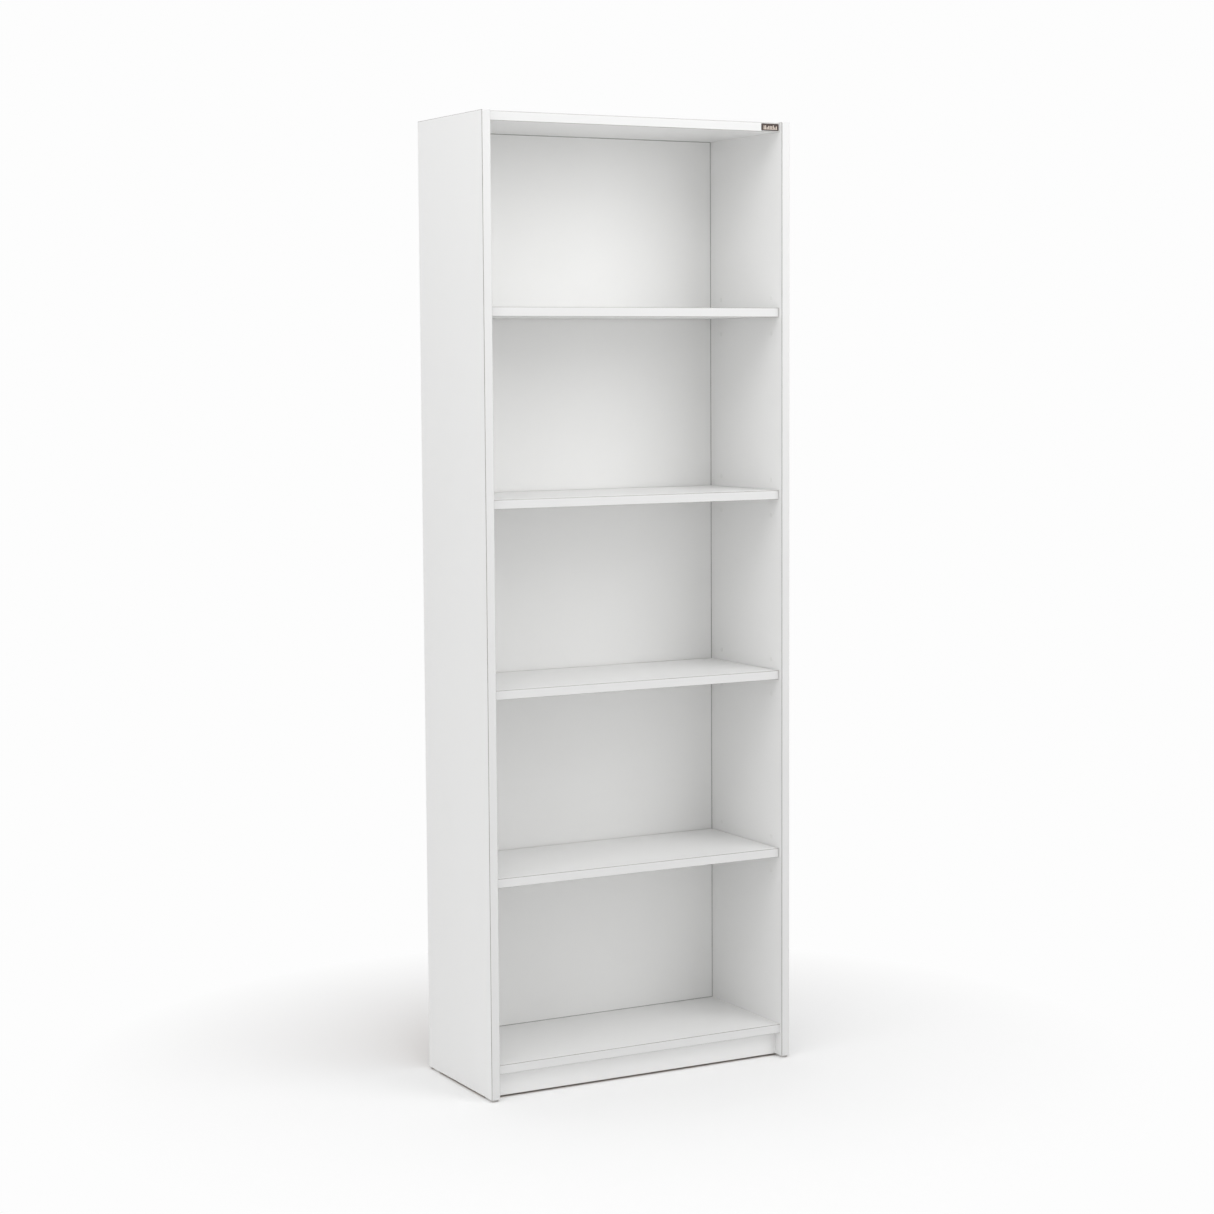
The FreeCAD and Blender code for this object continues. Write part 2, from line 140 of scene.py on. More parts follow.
def effect(name, takes, gives, build):
    """A node group with named inputs and outputs, built the first time it is asked for."""
    if name in bpy.data.node_groups:
        return bpy.data.node_groups[name]
    tree = bpy.data.node_groups.new(name, "ShaderNodeTree")
    for label, kind, value in takes:
        tree.interface.new_socket(name=label, in_out="INPUT", socket_type=kind).default_value = value
    for label, kind in gives:
        tree.interface.new_socket(name=label, in_out="OUTPUT", socket_type=kind)
    start, end = tree.nodes.new("NodeGroupInput"), tree.nodes.new("NodeGroupOutput")
    for label, socket in build(tree, start.outputs).items():
        tree.links.new(socket, end.inputs[label])
    return tree


def place(tree, made, takes):
    """Places an effect in a material and returns its outputs."""
    return node(tree, "ShaderNodeGroup", takes, node_tree=made).outputs


# ---------------------------------------------------------------- effects


def pressed_texture():
    """The fine texture that a press plate, a roller or a mould leaves, and a slow drift of tone."""

    def build(tree, takes):
        fine = noise(tree, takes["Place"], one_over(tree, takes["Size"]), roughness=0.55)
        height = maths(tree, "MULTIPLY", maths(tree, "SUBTRACT", fine, NOISE_MIDDLE), takes["Depth"])
        drift = noise(tree, takes["Place"], one_over(tree, takes["Drift Size"]), detail=3.0)
        return {"Height": height, "Drift": drift}

    takes = [
        ("Place", VECTOR, (0, 0, 0)),
        ("Size", FLOAT, 0.001),
        ("Depth", FLOAT, 0.00001),
        ("Drift Size", FLOAT, 0.2),
    ]
    return effect("Pressed texture", takes, [("Height", FLOAT), ("Drift", FLOAT)], build)


def core_chips():
    """Pressed wood chips: cells flattened along the board's thickness, each with its own tone.

    A chip's tone and its fibre choose its colour between the dark and the pale, and dark pores show where chips meet.
    """
    flattening, swirl_scale, swirl_reach = 1.6, 260.0, 0.0016
    fibre_scale, fibre_share, fibre_rise = 2600.0, 0.4, 0.5
    tone_share, depth = 0.72, 0.00012
    pore, pore_from, pore_gain, pore_share = (0.06, 0.035, 0.02), 0.42, 2.6, 0.7

    def build(tree, takes):
        along = vector_maths(tree, "DOT_PRODUCT", takes["Place"], takes["Axis"], "Value")
        extra = scaled(tree, takes["Axis"], maths(tree, "MULTIPLY", along, flattening))
        squashed = vector_maths(tree, "ADD", takes["Place"], extra)
        swirl = node(tree, "ShaderNodeTexNoise", {"Vector": squashed, "Scale": swirl_scale}).outputs["Color"]
        bent = vector_maths(tree, "ADD", squashed, scaled(tree, swirl, swirl_reach))
        cells = node(tree, "ShaderNodeTexVoronoi", {"Vector": bent, "Scale": one_over(tree, takes["Chip Size"])})
        tone = node(tree, "ShaderNodeSeparateColor", {0: cells.outputs["Color"]}).outputs[0]
        fibre = noise(tree, squashed, fibre_scale, detail=3.0, roughness=0.7)
        out = maths(tree, "SUBTRACT", cells.outputs["Distance"], pore_from)
        pores = maths(tree, "MULTIPLY", out, pore_gain, clamp=True)
        toned = maths(tree, "MULTIPLY", tone, tone_share)
        share = maths(tree, "ADD", toned, maths(tree, "MULTIPLY", fibre, fibre_share), clamp=True)
        colour = blended(tree, share, takes["Dark"], takes["Pale"])
        colour = blended(tree, maths(tree, "MULTIPLY", pores, pore_share), colour, opaque(pore))
        relief = maths(tree, "SUBTRACT", maths(tree, "MULTIPLY", fibre, fibre_rise), pores)
        return {"Color": colour, "Height": maths(tree, "MULTIPLY", relief, depth)}

    takes = [
        ("Place", VECTOR, (0, 0, 0)),
        ("Axis", VECTOR, UP),
        ("Chip Size", FLOAT, 0.0024),
        ("Pale", COLOUR, (0.5, 0.36, 0.2, 1)),
        ("Dark", COLOUR, (0.2, 0.12, 0.06, 1)),
    ]
    return effect("Chipboard core", takes, [("Color", COLOUR), ("Height", FLOAT)], build)


def board_layers():
    """1 inside a board and 0 in the skin on its two faces, by the distance from the board's middle plane."""

    def build(tree, takes):
        along = vector_maths(tree, "DOT_PRODUCT", takes["Place"], takes["Axis"], "Value")
        away = maths(tree, "ABSOLUTE", maths(tree, "SUBTRACT", along, takes["Middle"]))
        room = maths(tree, "SUBTRACT", maths(tree, "SUBTRACT", takes["Half"], takes["Skin"]), away)
        return {"Core": maths(tree, "DIVIDE", room, SHARP, clamp=True)}

    takes = [
        ("Place", VECTOR, (0, 0, 0)),
        ("Axis", VECTOR, UP),
        ("Middle", FLOAT, 0.0),
        ("Half", FLOAT, 0.008),
        ("Skin", FLOAT, 0.0002),
    ]
    return effect("Board layers", takes, [("Core", FLOAT)], build)


def joint_line():
    """A thin line along a flat joint, by the distance from the joint's plane, wider here and narrower there."""
    narrowest, spread, patches_scale = 0.75, 0.5, 45.0

    def build(tree, takes):
        along = vector_maths(tree, "DOT_PRODUCT", takes["Place"], takes["Axis"], "Value")
        away = maths(tree, "ABSOLUTE", maths(tree, "SUBTRACT", along, takes["At"]))
        patches = noise(tree, takes["Place"], patches_scale, detail=3.0)
        uneven = maths(tree, "ADD", narrowest, maths(tree, "MULTIPLY", patches, spread))
        wide = maths(tree, "MULTIPLY", takes["Width"], uneven)
        line = maths(tree, "DIVIDE", maths(tree, "SUBTRACT", wide, away), SHARP, clamp=True)
        return {"Line": line}

    takes = [("Place", VECTOR, (0, 0, 0)), ("Axis", VECTOR, UP), ("At", FLOAT, 0.0), ("Width", FLOAT, 0.0003)]
    return effect("Joint line", takes, [("Line", FLOAT)], build)


def handling_marks():
    """Faint smears and scuffs from handling: the peaks of a folded noise."""
    peaks_from, gain = 0.55, 5.0

    def build(tree, takes):
        scale = one_over(tree, takes["Size"])
        folded = noise(tree, takes["Place"], scale, detail=6.0, roughness=0.6, distortion=0.8)
        marks = maths(tree, "MULTIPLY", maths(tree, "SUBTRACT", folded, peaks_from), gain, clamp=True)
        return {"Marks": maths(tree, "MULTIPLY", marks, takes["Amount"])}

    takes = [("Place", VECTOR, (0, 0, 0)), ("Size", FLOAT, 0.1), ("Amount", FLOAT, 0.3)]
    return effect("Handling marks", takes, [("Marks", FLOAT)], build)


def fine_scratches():
    """Fine scratches: two stretched noises turned against each other, each drawn where it crosses its middle."""
    turns, stretch = ((0.5, 0.9, 0.2), (1.9, 0.3, 1.3)), (1.0, 14.0, 14.0)
    line_half, depth = 0.02, 0.00001

    def build(tree, takes):
        lines = []
        for turn in turns:
            mapping = {"Vector": takes["Place"], "Rotation": turn, "Scale": stretch}
            turned = node(tree, "ShaderNodeMapping", mapping).outputs[0]
            streak = noise(tree, turned, one_over(tree, takes["Length"]))
            off = maths(tree, "ABSOLUTE", maths(tree, "SUBTRACT", streak, NOISE_MIDDLE))
            lines.append(maths(tree, "SUBTRACT", 1.0, maths(tree, "DIVIDE", off, line_half), clamp=True))
        mask = maths(tree, "MULTIPLY", maths(tree, "MAXIMUM", *lines), takes["Amount"])
        return {"Mask": mask, "Height": maths(tree, "MULTIPLY", mask, -depth)}

    takes = [("Place", VECTOR, (0, 0, 0)), ("Length", FLOAT, 0.01), ("Amount", FLOAT, 0.5)]
    return effect("Fine scratches", takes, [("Mask", FLOAT), ("Height", FLOAT)], build)


# ---------------------------------------------------------------- materials


class Finish:
    """One material being made: its tree, its place on the piece and its Principled shader."""

    def __init__(self, name, **plain):
        self.material = bpy.data.materials.new(name)
        self.material.use_nodes = True
        self.tree = self.material.node_tree
        self.shader = next(n for n in self.tree.nodes if n.type == "BSDF_PRINCIPLED")
        self.place = node(self.tree, "ShaderNodeTexCoord").outputs["Object"]
        for label, value in plain.items():
            self.shader.inputs[label.replace("_", " ")].default_value = value

    def effect(self, made, **takes):
        """Places an effect on this piece's own coordinates."""
        named = {label.replace("_", " "): value for label, value in takes.items()}
        return place(self.tree, made, {"Place": self.place, **named})

    def done(self, colour, roughness, height, plain):
        """Links what varies over the surface; roughness may be None. `plain` is the colour where nodes don't show."""
        self.shader.inputs["Base Color"].default_value = opaque(plain)
        self.material.diffuse_color = opaque(plain)
        self.tree.links.new(colour, self.shader.inputs["Base Color"])
        if roughness is not None:
            self.tree.links.new(roughness, self.shader.inputs["Roughness"])
        bump = node(self.tree, "ShaderNodeBump", {"Height": height, "Distance": 1.0})
        self.tree.links.new(bump.outputs[0], self.shader.inputs["Normal"])
        return self.material


def white_face(made, white, change, drift, marks):
    """A white face, a shade lighter and darker over its length, with faint smears."""
    duller = opaque([part * (1.0 - change) for part in white])
    colour = blended(made.tree, drift, duller, opaque(white))
    return blended(made.tree, maths(made.tree, "MULTIPLY", marks, SMEAR_SHARE), colour, opaque(SMEAR))


def board_finish(name, look, axis, low, high, joints):
    """White melamine on the two faces along `axis`, from `low` to `high`, and bare chipboard between them.

    Each joint is an axis and a place on it, where a glue line shows along a banded edge, darkened with painted shade
    of the band's rounded edge.
    """
    smear_roughening, core_roughness = 0.12, 0.9
    made = Finish(name, Specular_IOR_Level=0.5)
    tree = made.tree
    pressed = made.effect(pressed_texture(), Size=look.peel_size, Depth=look.peel_depth, Drift_Size=0.35)
    marks = made.effect(handling_marks(), Size=0.12, Amount=0.35)["Marks"]
    middle, half = (low + high) / 2, (high - low) / 2
    core = made.effect(board_layers(), Axis=axis, Middle=middle, Half=half, Skin=look.skin)["Core"]
    chips = made.effect(
        core_chips(), Axis=axis, Chip_Size=look.chip_size, Pale=opaque(look.core_pale), Dark=opaque(look.core_dark)
    )
    colour = white_face(made, look.face, look.drift, pressed["Drift"], marks)
    for joint_axis, at in joints:
        # Glue line at the joint, widened and darkened with painted shade of the band's rounded edge
        line = made.effect(joint_line(), Axis=joint_axis, At=at, Width=look.glue_and_shade_width)["Line"]
        colour = blended(tree, line, colour, opaque(look.seam))
    colour = blended(tree, core, colour, chips["Color"])
    skin = between(tree, marks, look.roughness, look.roughness + smear_roughening)
    roughness = between(tree, core, skin, core_roughness)
    height = between(tree, core, pressed["Height"], chips["Height"])
    return made.done(colour, roughness, height, look.face)


def band_finish(name, look, white, joint, edges, along):
    """A satin edge band: lines drawn along its length, its two scraped edges and the glue line at its joint, each
    darkened with painted shade.

    The joint and each edge are an axis and a place on it.
    """
    line_stretch, line_scale, line_depth = 0.02, 2400.0, 0.000004
    peel_share, glue_and_shade_share = 0.5, 0.6
    polish, smear_roughening = 0.04, 0.08
    made = Finish(name, Specular_IOR_Level=0.5)
    tree = made.tree
    peel_depth = look.peel_depth * peel_share
    pressed = made.effect(pressed_texture(), Size=look.peel_size, Depth=peel_depth, Drift_Size=0.3)
    marks = made.effect(handling_marks(), Size=0.08, Amount=0.3)["Marks"]
    stretch = tuple(line_stretch if part else 1.0 for part in along)
    drawn = noise(tree, stretched(tree, made.place, stretch), line_scale)
    colour = white_face(made, white, look.drift, pressed["Drift"], marks)
    for axis, at in edges:
        # Scraped edge, darkened with painted shade of the band's rounded arris
        scraped = made.effect(joint_line(), Axis=axis, At=at, Width=look.scrape_width)["Line"]
        colour = blended(tree, scraped, colour, opaque(look.scrape_and_shade))
    axis, at = joint
    # Glue line at the joint, darkened with painted shade of the band's rounded edge
    line = made.effect(joint_line(), Axis=axis, At=at, Width=look.glue_and_shade_width * glue_and_shade_share)["Line"]
    colour = blended(tree, line, colour, opaque(look.seam))
    height = maths(tree, "ADD", pressed["Height"], maths(tree, "MULTIPLY", drawn, line_depth))
    roughness = between(tree, marks, look.roughness - polish, look.roughness + smear_roughening)
    return made.done(colour, roughness, height, white)


def back_finish(name, look, front, grooves):
    """A thin hardboard: white lacquer on the face at `front`, and bare brown fibre behind.

    Each groove is an axis and a place on it, where a shadow line shows.
    """
    fibre_scale, fibre_gain, fibre_depth = 900.0, 1.2, 0.00005
    cloud_scale, cloud_share = 22.0, 0.35
    bare_roughness, smear_roughening = 0.8, 0.1
    made = Finish(name, Specular_IOR_Level=0.5)
    tree = made.tree
    rolled = made.effect(pressed_texture(), Size=0.0007, Depth=0.000012, Drift_Size=0.4)
    marks = made.effect(handling_marks(), Size=0.15, Amount=0.4)["Marks"]
    film = made.effect(joint_line(), Axis=DEEP, At=front, Width=look.film)["Line"]
    fibre = noise(tree, made.place, fibre_scale, detail=6.0, roughness=0.75, distortion=1.5)
    cloud = noise(tree, made.place, cloud_scale, detail=4.0, roughness=0.6)
    bare_dark, bare_pale = opaque(look.bare_dark), opaque(look.bare_pale)
    brown = blended(tree, maths(tree, "MULTIPLY", fibre, fibre_gain, clamp=True), bare_dark, bare_pale)
    brown = blended(tree, maths(tree, "MULTIPLY", cloud, cloud_share), brown, bare_dark)
    white = white_face(made, look.face, look.drift, rolled["Drift"], marks)
    for axis, at in grooves:
        line = made.effect(joint_line(), Axis=axis, At=at, Width=look.groove_width)["Line"]
        white = blended(tree, line, white, opaque(look.groove))
    colour = blended(tree, film, brown, white)
    lacquer = between(tree, marks, look.roughness, look.roughness + smear_roughening)
    roughness = between(tree, film, bare_roughness, lacquer)
    height = between(tree, film, maths(tree, "MULTIPLY", fibre, fibre_depth), rolled["Height"])
    return made.done(colour, roughness, height, look.face)


def plastic_finish(name, colour, roughness, size, depth, scuffed_at=None):
    """Moulded plastic with the mould's fine spark texture and faint flow marks.

    `scuffed_at` is the height of a worn underside.
    """
    flow_shade, smear_roughening = 0.93, 0.12
    grit, grit_reach, grit_scale, grit_roughness = (0.16, 0.15, 0.14), 0.0004, 1500.0, 0.8
    made = Finish(name, Specular_IOR_Level=0.5)
    tree = made.tree
    mould = made.effect(pressed_texture(), Size=size, Depth=depth, Drift_Size=0.012)
    marks = made.effect(handling_marks(), Size=0.01, Amount=0.5)["Marks"]
    darker = opaque([part * flow_shade for part in colour])
    shown = blended(tree, mould["Drift"], darker, opaque(colour))
    rough = between(tree, marks, roughness, roughness + smear_roughening)
    if scuffed_at is not None:
        under = made.effect(joint_line(), Axis=UP, At=scuffed_at, Width=grit_reach)["Line"]
        gritty = maths(tree, "MULTIPLY", under, noise(tree, made.place, grit_scale, detail=4.0, roughness=0.7))
        shown = blended(tree, gritty, shown, opaque(grit))
        rough = between(tree, under, rough, grit_roughness)
    return made.done(shown, rough, mould["Height"], colour)


def metal_finish(name, colour, roughness, mottle, mottle_size, scratches):
    """A plated or cast metal: a mottle of small crystals or plating clouds, crossed by fine scratches."""
    cloud_scale, cell_share, cloud_share = 0.3 / mottle_size, 0.4, 0.6
    shine, shine_share, scratch_roughening = (0.95, 0.95, 0.95), 0.3, 0.2
    mottle_roughening, mottle_depth = 0.5 * mottle, 0.00001 * mottle
    made = Finish(name, Metallic=1.0)
    tree = made.tree
    cells = node(tree, "ShaderNodeTexVoronoi", {"Vector": made.place, "Scale": 1.0 / mottle_size})
    tone = node(tree, "ShaderNodeSeparateColor", {0: cells.outputs["Color"]}).outputs[0]
    cloud = noise(tree, made.place, cloud_scale, detail=4.0, roughness=0.6)
    celled = maths(tree, "MULTIPLY", tone, cell_share)
    share = maths(tree, "ADD", celled, maths(tree, "MULTIPLY", cloud, cloud_share), clamp=True)
    lines = made.effect(fine_scratches(), Length=0.012, Amount=scratches)
    darker = opaque([part * (1.0 - mottle) for part in colour])
    shown = blended(tree, share, darker, opaque(colour))
    shown = blended(tree, maths(tree, "MULTIPLY", lines["Mask"], shine_share), shown, opaque(shine))
    rough = between(tree, share, roughness + mottle_roughening, roughness)
    rough = between(tree, lines["Mask"], rough, roughness + scratch_roughening)
    height = maths(tree, "ADD", lines["Height"], maths(tree, "MULTIPLY", share, mottle_depth))
    return made.done(shown, rough, height, colour)


def beech_finish(name, colour):
    """Bare beech with its grain along X: long soft bands, and short dark flecks."""
    band_scale, band_shade, depth = 700.0, 0.72, 0.00003
    fleck, fleck_scale, fleck_from, fleck_gain, fleck_share = (0.2, 0.1, 0.05), 2600.0, 0.62, 9.0, 0.55
    roughness_dark, roughness_pale = 0.7, 0.6
    made = Finish(name, Specular_IOR_Level=0.4)
    tree = made.tree
    long_grain = stretched(tree, made.place, (0.08, 1.0, 1.0))
    bands = noise(tree, long_grain, band_scale, detail=3.0, roughness=0.6, distortion=0.4)
    peaks = noise(tree, long_grain, fleck_scale, detail=1.0)
    flecks = maths(tree, "MULTIPLY", maths(tree, "SUBTRACT", peaks, fleck_from), fleck_gain, clamp=True)
    shown = blended(tree, bands, opaque([part * band_shade for part in colour]), opaque(colour))
    shown = blended(tree, maths(tree, "MULTIPLY", flecks, fleck_share), shown, opaque(fleck))
    height = maths(tree, "MULTIPLY", maths(tree, "ADD", bands, flecks), -depth)
    return made.done(shown, between(tree, bands, roughness_dark, roughness_pale), height, colour)


def dress(material, *nodes):
    """Gives these CAD nodes the material."""
    for name in nodes:
        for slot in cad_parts[name].material_slots:
            slot.material = material


# ---------------------------------------------------------------- new surfaces


def piece_from(name, points, faces, material, body):
    """A smooth mesh piece from arrays of points and faces, riding on a body."""
    mesh = bpy.data.meshes.new(name)
    mesh.from_pydata(points.tolist(), [], faces)
    mesh.update()
    mesh.shade_smooth()
    mesh.materials.append(material)
    piece = bpy.data.objects.new(name, mesh)
    bpy.context.scene.collection.objects.link(piece)
    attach(piece, body)


def ring_faces(rings, count):
    """Four-sided faces between neighbouring rings of `count` points each."""
    i = np.arange(rings - 1)[:, None]
    j = np.arange(count)[None, :]
    a, b = i * count + j, i * count + (j + 1) % count
    c, d = (i + 1) * count + (j + 1) % count, (i + 1) * count + j
    return np.stack([a, b, c, d], axis=-1).reshape(-1, 4)


def soft_bar(half, power=0.35, rings=14, around=28):
    """A bar with softened edges: a ball whose cosines and sines are raised to a small power, keeping their sign.

    For u round the bar and v from pole to pole, x = hx * f(cos v) * f(cos u), y = hy * f(cos v) * f(sin u) and
    z = hz * f(sin v), where f(c) is the sign of c times |c| to the power. Each pole is one point.
    """

    def f(c):
        """The sign of c times |c| to the power."""
        return np.sign(c) * np.abs(c) ** power

    u = np.arange(around) / around * 2 * pi
    v = (np.arange(1, rings + 1) / (rings + 1) - 0.5) * pi
    flat, tall = f(np.cos(v))[:, None], f(np.sin(v))[:, None]
    body = np.stack(
        [half[0] * flat * f(np.cos(u)), half[1] * flat * f(np.sin(u)), half[2] * tall * np.ones(around)], axis=-1
    ).reshape(-1, 3)
    points = np.vstack([body, [[0, 0, -half[2]], [0, 0, half[2]]]])
    low, high, j = rings * around, rings * around + 1, np.arange(around)
    last = (rings - 1) * around
    fans = np.vstack(
        [
            np.stack([np.full(around, low), (j + 1) % around, j], axis=1),
            np.stack([np.full(around, high), last + j, last + (j + 1) % around], axis=1),
        ]
    )
    return points, ring_faces(rings, around).tolist() + fans.tolist()


# ---------------------------------------------------------------- sizes and colours


def colour_property(name, description, default):
    """A colour."""
    return FloatVectorProperty(
        name=name, description=description, default=default, subtype="COLOR", size=3, min=0.0, max=1.0
    )


def length_property(name, description, default):
    """A length in metres."""
    return FloatProperty(name=name, description=description, default=default, unit="LENGTH", min=0.0, precision=5)


def place_property(name, description, default):
    """A place along one axis, in metres."""
    return FloatProperty(name=name, description=description, default=default, unit="LENGTH", precision=5)


def share_property(name, description, default):
    """A share from 0 to 1."""
    return FloatProperty(name=name, description=description, default=default, subtype="FACTOR", min=0.0, max=1.0)


def strength_property(name, description, default):
    """A light's strength."""
    return FloatProperty(name=name, description=description, default=default, min=0.0)


def watts_property(name, description, default):
    """A lamp's power."""
    return strength_property(name, f"{description}, in watts", default)


def angle_property(name, description, degrees):
    """An angle, given in degrees and kept in radians."""
    return FloatProperty(name=name, description=description, default=radians(degrees), subtype="ANGLE")


class BoardLook(bpy.types.PropertyGroup):
    """The melamine-faced chipboard and its bands."""

    face: colour_property("Face", "White of the pressed melamine faces", (0.82, 0.82, 0.815))
    # Painted shade: the front bands get this darker white, while the top bands of the same film take the face white
    band: colour_property("Band", "White of the bands on front edges", (0.69, 0.69, 0.687))
    drift: share_property("Drift", "How much the white varies over a board", 0.02)
    roughness: share_property("Roughness", "Roughness of a clean face", 0.42)
    peel_size: length_property("Texture size", "Size of the press plate's fine texture", 0.0009)
    peel_depth: length_property("Texture depth", "Depth of the press plate's fine texture", 0.000012)
    skin: length_property("Skin", "Thickness of the melamine skin", 0.0002)
    # Glue line colour: partly glue, partly painted shade at the banded edge
    seam: colour_property("Glue line", "Colour of the glue line at a banded edge", (0.2, 0.195, 0.185))
    glue_and_shade_width: length_property("Glue line width", "Width of the glue line", 0.0005)
    # Scraped edge colour: partly the scraping, partly painted shade of the band's rounded arris
    scrape_and_shade: colour_property("Scraped edge", "Colour of a band's scraped edges", (0.46, 0.455, 0.44))
    scrape_width: length_property("Scraped width", "Width of a band's scraped edges", 0.0004)
    core_pale: colour_property("Pale chips", "Palest wood chips in the core", (0.52, 0.37, 0.21))
    core_dark: colour_property("Dark chips", "Darkest wood chips in the core", (0.22, 0.13, 0.065))
    chip_size: length_property("Chip size", "Size of a wood chip", 0.0026)


class BackLook(bpy.types.PropertyGroup):
    """The thin back board."""

    face: colour_property("Face", "White lacquer on the front", (0.87, 0.87, 0.862))
    drift: share_property("Drift", "How much the white varies", 0.025)
    roughness: share_property("Roughness", "Roughness of the lacquer", 0.55)
    film: length_property("Film", "Thickness that the lacquer colours", 0.0004)
    groove: colour_property("Groove line", "Dust and shadow where the board enters its grooves", (0.3, 0.295, 0.28))
    groove_width: length_property("Groove line width", "Width of the line at a groove", 0.0011)
    bare_pale: colour_property("Pale fibre", "Palest fibre on the bare rear face", (0.36, 0.22, 0.12))
    bare_dark: colour_property("Dark fibre", "Darkest fibre on the bare rear face", (0.17, 0.09, 0.045))


class FittingLook(bpy.types.PropertyGroup):
    """The metal, wood and plastic fittings."""

    nickel: colour_property("Nickel", "Nickel plating on the shelf supports", (0.66, 0.63, 0.58))
    zinc: colour_property("Cast zinc", "Die-cast cams", (0.5, 0.5, 0.5))
    steel: colour_property("Steel", "Zinc-plated bolts and nails", (0.6, 0.6, 0.61))
    beech: colour_property("Beech", "Bare dowels", (0.55, 0.34, 0.18))
    cap: colour_property("Caps", "White caps in the spare holes", (0.8, 0.8, 0.79))
    glide: colour_property("Glides", "Pale grey glides", (0.55, 0.55, 0.54))


class BadgeLook(bpy.types.PropertyGroup):
    """The small brown badge on the top panel."""

    plate: colour_property("Plate", "Brown lacquer of the plate", (0.036, 0.014, 0.008))
    trim: colour_property("Trim", "Pale raised bars", (0.72, 0.62, 0.54))
    stand: length_property("Stand", "How far the bars stand off the plate", 0.00028)
    bars: IntProperty(name="Bars", description="Number of upright bars", default=9, min=1, max=20)


class StudioLook(bpy.types.PropertyGroup):
    """The floor, the lights and the camera."""

    paper: colour_property("Paper", "White that the floor fades into and that shows behind", (0.982, 0.982, 0.982))
    floor: colour_property("Floor", "Pale floor", (0.9, 0.9, 0.9))
    floor_half: length_property("Floor reach", "Half the floor's side", 14.0)
    fade_from: length_property("Fade from", "Distance at which the floor starts to fade", 0.34)
    fade_to: length_property("Fade to", "Distance at which the floor has faded", 1.0)
    sky: strength_property("Sky", "Strength of the soft light from all round", 0.49)
    overhead: strength_property("Overhead", "Extra strength of the sky straight above", 0.345)
    key: watts_property("Key", "Softbox in front, to the right of the middle", 10.3)
    front_fill: watts_property("Front fill", "Large softbox farther out in front, on the right", 14.2)
    left_key: watts_property("Left key", "High softbox in front, to the left of the middle", 13.3)
    left_side: watts_property("Left side", "High softbox on the left", 10.6)
    left_low: watts_property("Left low", "Large low softbox on the left", 11.2)
    camera_x: place_property("Camera X", "Camera's place across the front", -2.25084)
    camera_y: place_property("Camera Y", "Camera's place in front", -4.14965)
    camera_z: place_property("Camera height", "Camera's height above the floor", 1.2868)
    yaw: angle_property("Yaw", "Camera's turn to the right of straight ahead", 28.4577)
    pitch: angle_property("Pitch", "Camera's tilt, negative downwards", -5.4104)
    roll: angle_property("Roll", "Camera's roll about its line of sight", -0.3519)
    lens: FloatProperty(name="Lens", description="Focal length on a 36 mm sensor, in mm", default=77.889, min=1.0)


LOOKS = {"board": BoardLook, "back": BackLook, "fitting": FittingLook, "badge": BadgeLook, "studio": StudioLook}


def chosen_look(scene, key):
    """The scene's own copy of one of the groups above."""
    return getattr(scene, f"bookcase_{key}")


# ---------------------------------------------------------------- operators


class BookcaseOperator:
    """What the operators share."""

    bl_options = {"REGISTER", "UNDO"}


class BOOKCASE_OT_side_panels(BookcaseOperator, bpy.types.Operator):
    """Finish the two side panels: melamine faces, bare chipboard on the rear and lower edges and in the holes"""

    bl_idname = "bookcase.side_panels"
    bl_label = "Side panels"

    def execute(self, context):
        board = chosen_look(context.scene, "board")
        for side in ("left", "right"):
            low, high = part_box(f"{side}_side_panel")
            finish = board_finish(f"Melamine board, {side} side", board, ACROSS, low.x, high.x, [(DEEP, low.y)])
            dress(finish, f"{side}_side_panel")
        return {"FINISHED"}


class BOOKCASE_OT_fixed_boards(BookcaseOperator, bpy.types.Operator):
    """Finish the top panel, the bottom panel and the kick board"""

    bl_idname = "bookcase.fixed_boards"
    bl_label = "Top, bottom and kick board"

    def execute(self, context):
        board = chosen_look(context.scene, "board")
        for name, label in (("top_panel", "top"), ("bottom_panel", "bottom")):
            low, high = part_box(name)
            dress(board_finish(f"Melamine board, {label}", board, UP, low.z, high.z, [(DEEP, low.y)]), name)
        low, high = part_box("kick_board")
        dress(board_finish("Melamine board, kick", board, DEEP, low.y, high.y, []), "kick_board")
        return {"FINISHED"}


class BOOKCASE_OT_shelves(BookcaseOperator, bpy.types.Operator):
    """Finish the four shelves, with bare chipboard on their ends, rear edges and support notches"""

    bl_idname = "bookcase.shelves"
    bl_label = "Shelves"

    def execute(self, context):
        board = chosen_look(context.scene, "board")
        for name in SHELVES:
            low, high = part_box(name)
            label = name.replace("_", " ")
            dress(board_finish(f"Melamine board, {label}", board, UP, low.z, high.z, [(DEEP, low.y)]), name)
        return {"FINISHED"}


class BOOKCASE_OT_edge_bands(BookcaseOperator, bpy.types.Operator):
    """Finish the edge bands, each with its glue line on the side of its board"""

    bl_idname = "bookcase.edge_bands"
    bl_label = "Edge bands"

    def execute(self, context):
        board = chosen_look(context.scene, "board")
        for side in ("left", "right"):
            name = f"{side}_side_front_band"
            low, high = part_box(name)
            edges = [(ACROSS, low.x), (ACROSS, high.x)]
            # Painted shade: the front band takes the darker band white, the top band below takes the face white
            dress(band_finish(f"Edge band, {side} side front", board, board.band, (DEEP, high.y), edges, UP), name)
            name = f"{side}_side_top_band"
            joint = (UP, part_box(name)[0].z)
            dress(band_finish(f"Edge band, {side} side top", board, board.face, joint, edges, DEEP), name)
        for board_name in ("top_panel", "bottom_panel", *SHELVES):
            name = f"{board_name}_front_band"
            low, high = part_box(name)
            label = board_name.replace("_", " ")
            edges = [(UP, low.z), (UP, high.z)]
            # Painted shade: front bands take the darker band white
            dress(band_finish(f"Edge band, {label}", board, board.band, (DEEP, high.y), edges, ACROSS), name)
        return {"FINISHED"}


